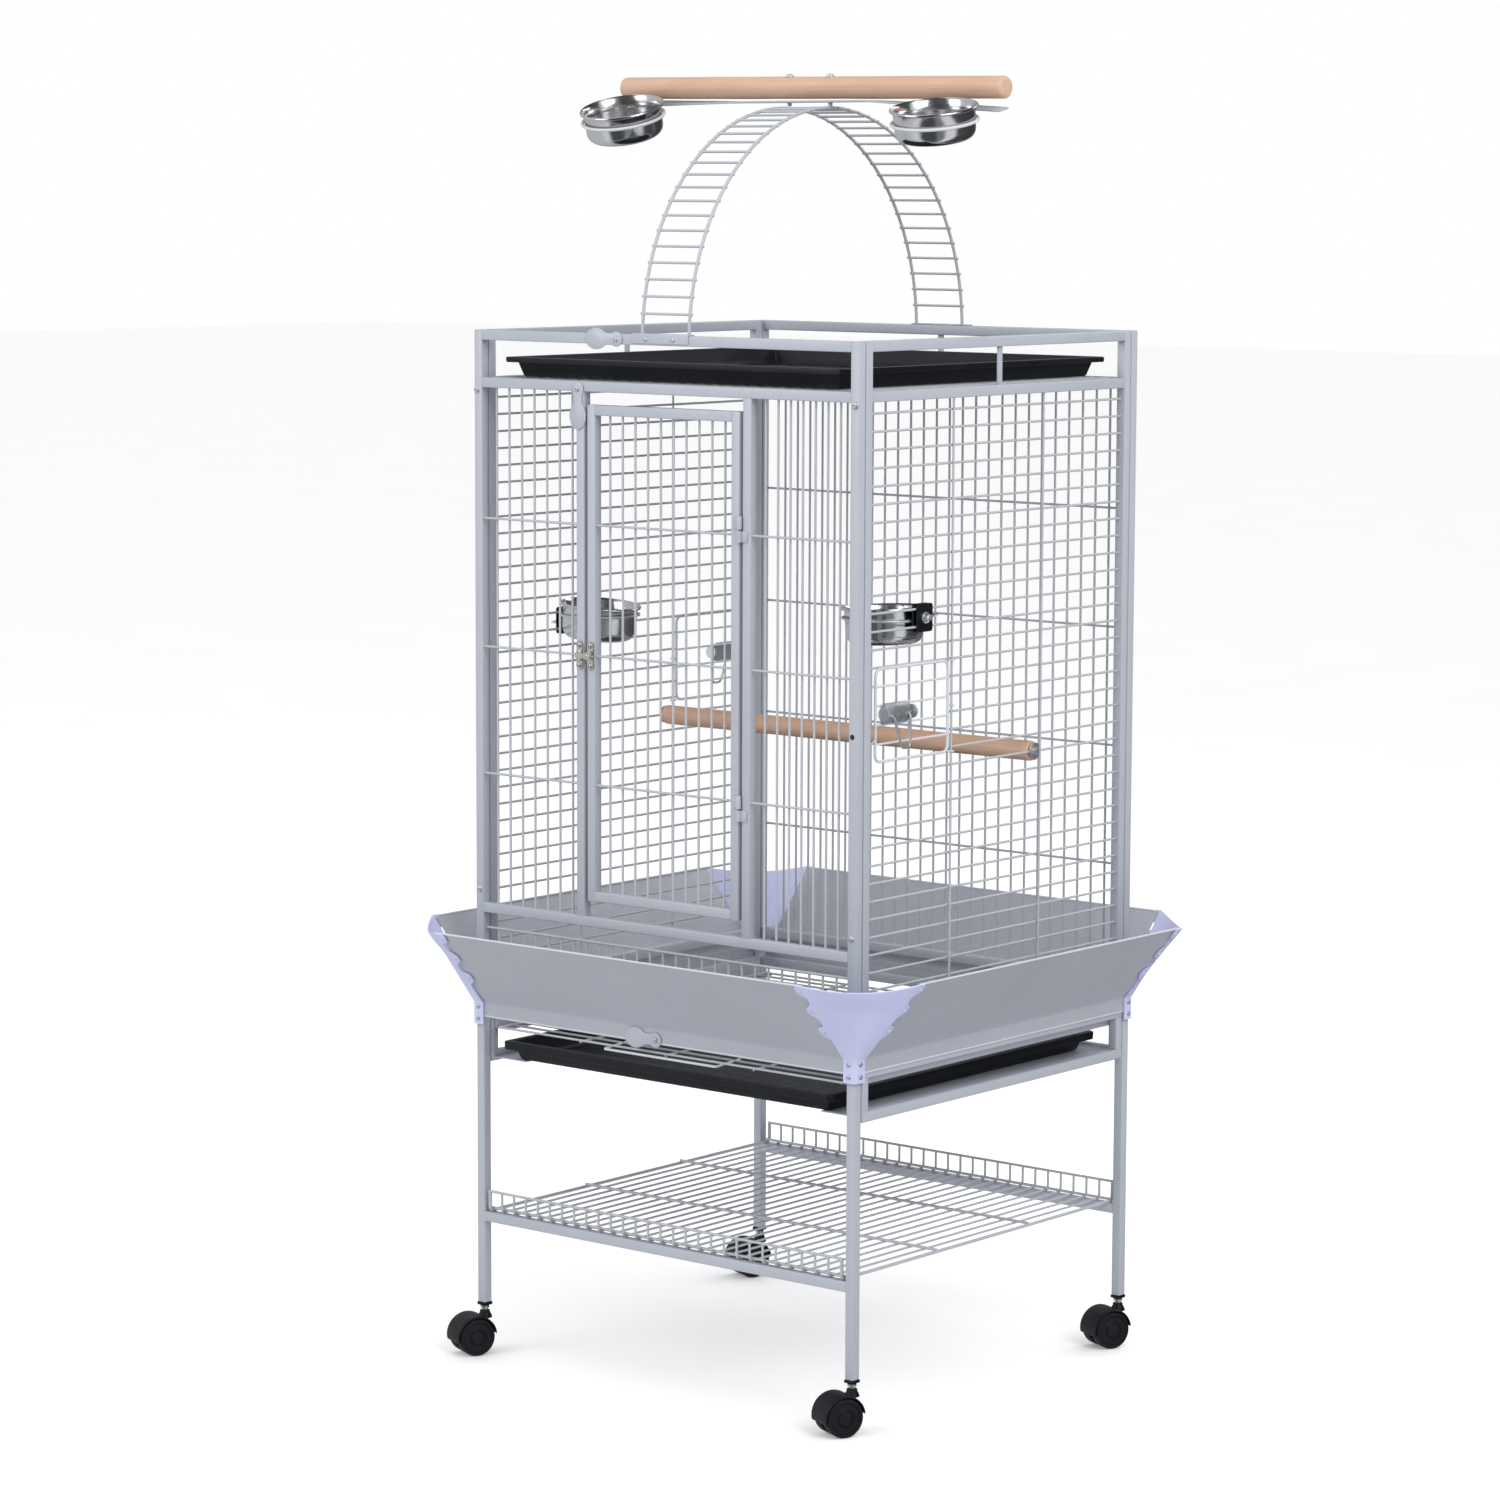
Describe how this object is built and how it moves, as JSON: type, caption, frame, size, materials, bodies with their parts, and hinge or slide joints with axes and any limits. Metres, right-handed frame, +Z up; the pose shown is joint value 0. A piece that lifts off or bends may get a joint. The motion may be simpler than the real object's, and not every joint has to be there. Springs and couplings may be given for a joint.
{
  "type": "bird cage on stand",
  "caption": "Play-top bird cage on a wheeled stand, grey powder coat, seed guards, trays, ladder arch, wooden perches and steel bowls.",
  "frame": {"origin": "on the floor under the middle of the cage", "axes": "+Z up, +X to the right as seen from the door, -Y out of the front door"},
  "size_m": [0.7874, 0.7434, 1.6205],
  "materials": {
    "paint": "light grey-blue powder coat, satin",
    "guard": "pale lavender moulded plastic, slightly translucent",
    "tray": "black moulded tray",
    "black": "black moulded plastic",
    "wood": "raw hardwood dowel",
    "stainless": "polished stainless",
    "zinc": "zinc plated",
    "nickel": "nickel plated"
  },
  "bodies": {
    "cage": {"stand_front_legs": "paint", "stand_rear_legs": "paint", "side_frame_left": "paint", "side_frame_right": "paint", "skirt_front": "paint", "skirt_back": "paint", "skirt_left": "paint", "skirt_right": "paint", "front_panel": "paint", "back_panel": "paint", "side_panel_left": "paint", "side_panel_right": "paint", "cross_bar": "paint", "shelf_wires": "paint", "roof_wires": "paint", "feeder_hinge_wire_left": "paint", "feeder_hinge_wire_right": "paint", "ladder_front": "paint", "ladder_back": "paint", "bowl_ring_left": "paint", "bowl_ring_right": "paint", "corner_guard_fl": "guard", "corner_guard_fr": "guard", "corner_guard_br": "guard", "corner_guard_bl": "guard", "perch_top": "wood", "perch_inner": "wood", "feed_bowl_holder_left": "zinc", "feed_bowl_holder_right": "zinc", "latch_keeper": "nickel", "caster_plug_fl": "black", "caster_plug_fr": "black", "caster_plug_br": "black", "caster_plug_bl": "black"},
    "door": {"front_door": "paint"},
    "door_latch": {"door_latch": "nickel"},
    "flap_play_top": {"flap_play_top": "paint"},
    "flap_door": {"flap_door": "paint"},
    "flap_tray": {"flap_tray": "paint"},
    "lower_tray": {"lower_tray": "tray"},
    "floor_grate": {"floor_grate": "paint"},
    "top_tray": {"top_tray": "tray"},
    "feeder_right": {"feeder_door_right": "paint", "feeder_latch_plate_right": "zinc"},
    "bail_right": {"feeder_latch_bail_right": "zinc"},
    "feeder_left": {"feeder_door_left": "paint", "feeder_latch_plate_left": "zinc"},
    "bail_left": {"feeder_latch_bail_left": "zinc"},
    "top_bowl_left": {"top_bowl_left": "stainless"},
    "top_bowl_right": {"top_bowl_right": "stainless"},
    "feed_bowl_left": {"feed_bowl_left": "stainless"},
    "feed_bowl_right": {"feed_bowl_right": "stainless"},
    "caster_fl": {"caster_hood_fl": "black"},
    "wheels_fl": {"caster_wheels_fl": "black"},
    "caster_fr": {"caster_hood_fr": "black"},
    "wheels_fr": {"caster_wheels_fr": "black"},
    "caster_br": {"caster_hood_br": "black"},
    "wheels_br": {"caster_wheels_br": "black"},
    "caster_bl": {"caster_hood_bl": "black"},
    "wheels_bl": {"caster_wheels_bl": "black"}
  },
  "joints": [
    {"name": "door_hinge", "type": "hinge", "parent": "cage", "child": "door", "pos_m": [0.1265, -0.2855, 0.603], "axis": [0, 0, 1], "range_deg": [0, 110]},
    {"name": "door_latch_turn", "type": "hinge", "parent": "door", "child": "door_latch", "pos_m": [-0.11115, -0.29, 0.908], "axis": [0, 1, 0], "range_deg": [0, 90]},
    {"name": "flap_play_top_turn", "type": "hinge", "parent": "cage", "child": "flap_play_top", "pos_m": [-0.0685, -0.2833, 1.297], "axis": [0, -1, 0], "range_deg": [0, 90]},
    {"name": "flap_door_turn", "type": "hinge", "parent": "cage", "child": "flap_door", "pos_m": [-0.1316, -0.2833, 1.235], "axis": [0, -1, 0], "range_deg": [-80, 60]},
    {"name": "flap_tray_turn", "type": "hinge", "parent": "cage", "child": "flap_tray", "pos_m": [-0.0035, -0.2849, 0.442], "axis": [0, -1, 0], "range_deg": [0, 90]},
    {"name": "lower_tray_slide", "type": "slide", "parent": "cage", "child": "lower_tray", "axis": [0, -1, 0], "range_m": [0, 0.56]},
    {"name": "floor_grate_slide", "type": "slide", "parent": "cage", "child": "floor_grate", "axis": [0, -1, 0], "range_m": [0, 0.56]},
    {"name": "top_tray_slide", "type": "slide", "parent": "cage", "child": "top_tray", "axis": [0, -1, 0], "range_m": [0, 0.56]},
    {"name": "feeder_right_hinge", "type": "hinge", "parent": "cage", "child": "feeder_right", "pos_m": [0.30195, -0.0955, 0.805], "axis": [0, 0, 1], "range_deg": [0, 150]},
    {"name": "bail_right_hinge", "type": "hinge", "parent": "feeder_right", "child": "bail_right", "pos_m": [0.30875, -0.2095, 0.8635], "axis": [0, -1, 0], "range_deg": [0, 150]},
    {"name": "feeder_left_hinge", "type": "hinge", "parent": "cage", "child": "feeder_left", "pos_m": [-0.30195, 0.0955, 0.805], "axis": [0, 0, 1], "range_deg": [0, 150]},
    {"name": "bail_left_hinge", "type": "hinge", "parent": "feeder_left", "child": "bail_left", "pos_m": [-0.30875, 0.2095, 0.8635], "axis": [0, 1, 0], "range_deg": [0, 150]},
    {"name": "top_bowl_left_lift", "type": "slide", "parent": "cage", "child": "top_bowl_left", "axis": [0.0645, -0.2951, 0.9533], "range_m": [0, 0.08]},
    {"name": "top_bowl_right_lift", "type": "slide", "parent": "cage", "child": "top_bowl_right", "axis": [0.0593, -0.2075, 0.9764], "range_m": [0, 0.08]},
    {"name": "feed_bowl_left_lift", "type": "slide", "parent": "cage", "child": "feed_bowl_left", "axis": [0.0872, 0, 0.9962], "range_m": [0, 0.08]},
    {"name": "feed_bowl_right_lift", "type": "slide", "parent": "cage", "child": "feed_bowl_right", "axis": [-0.0349, 0, 0.9994], "range_m": [0, 0.08]},
    {"name": "caster_fl_swivel", "type": "hinge", "parent": "cage", "child": "caster_fl", "pos_m": [-0.29865, -0.27665, 0.055], "axis": [0, 0, 1], "continuous": true},
    {"name": "wheels_fl_spin", "type": "hinge", "parent": "caster_fl", "child": "wheels_fl", "pos_m": [-0.30568, -0.29322, 0.024], "axis": [0.9205, -0.3907, 0], "continuous": true},
    {"name": "caster_fr_swivel", "type": "hinge", "parent": "cage", "child": "caster_fr", "pos_m": [0.29865, -0.27665, 0.055], "axis": [0, 0, 1], "continuous": true},
    {"name": "wheels_fr_spin", "type": "hinge", "parent": "caster_fr", "child": "wheels_fr", "pos_m": [0.29162, -0.29322, 0.024], "axis": [0.9205, -0.3907, 0], "continuous": true},
    {"name": "caster_br_swivel", "type": "hinge", "parent": "cage", "child": "caster_br", "pos_m": [0.29865, 0.27665, 0.055], "axis": [0, 0, 1], "continuous": true},
    {"name": "wheels_br_spin", "type": "hinge", "parent": "caster_br", "child": "wheels_br", "pos_m": [0.29162, 0.26008, 0.024], "axis": [0.9205, -0.3907, 0], "continuous": true},
    {"name": "caster_bl_swivel", "type": "hinge", "parent": "cage", "child": "caster_bl", "pos_m": [-0.29865, 0.27665, 0.055], "axis": [0, 0, 1], "continuous": true},
    {"name": "wheels_bl_spin", "type": "hinge", "parent": "caster_bl", "child": "wheels_bl", "pos_m": [-0.30568, 0.26008, 0.024], "axis": [0.9205, -0.3907, 0], "continuous": true}
  ]
}
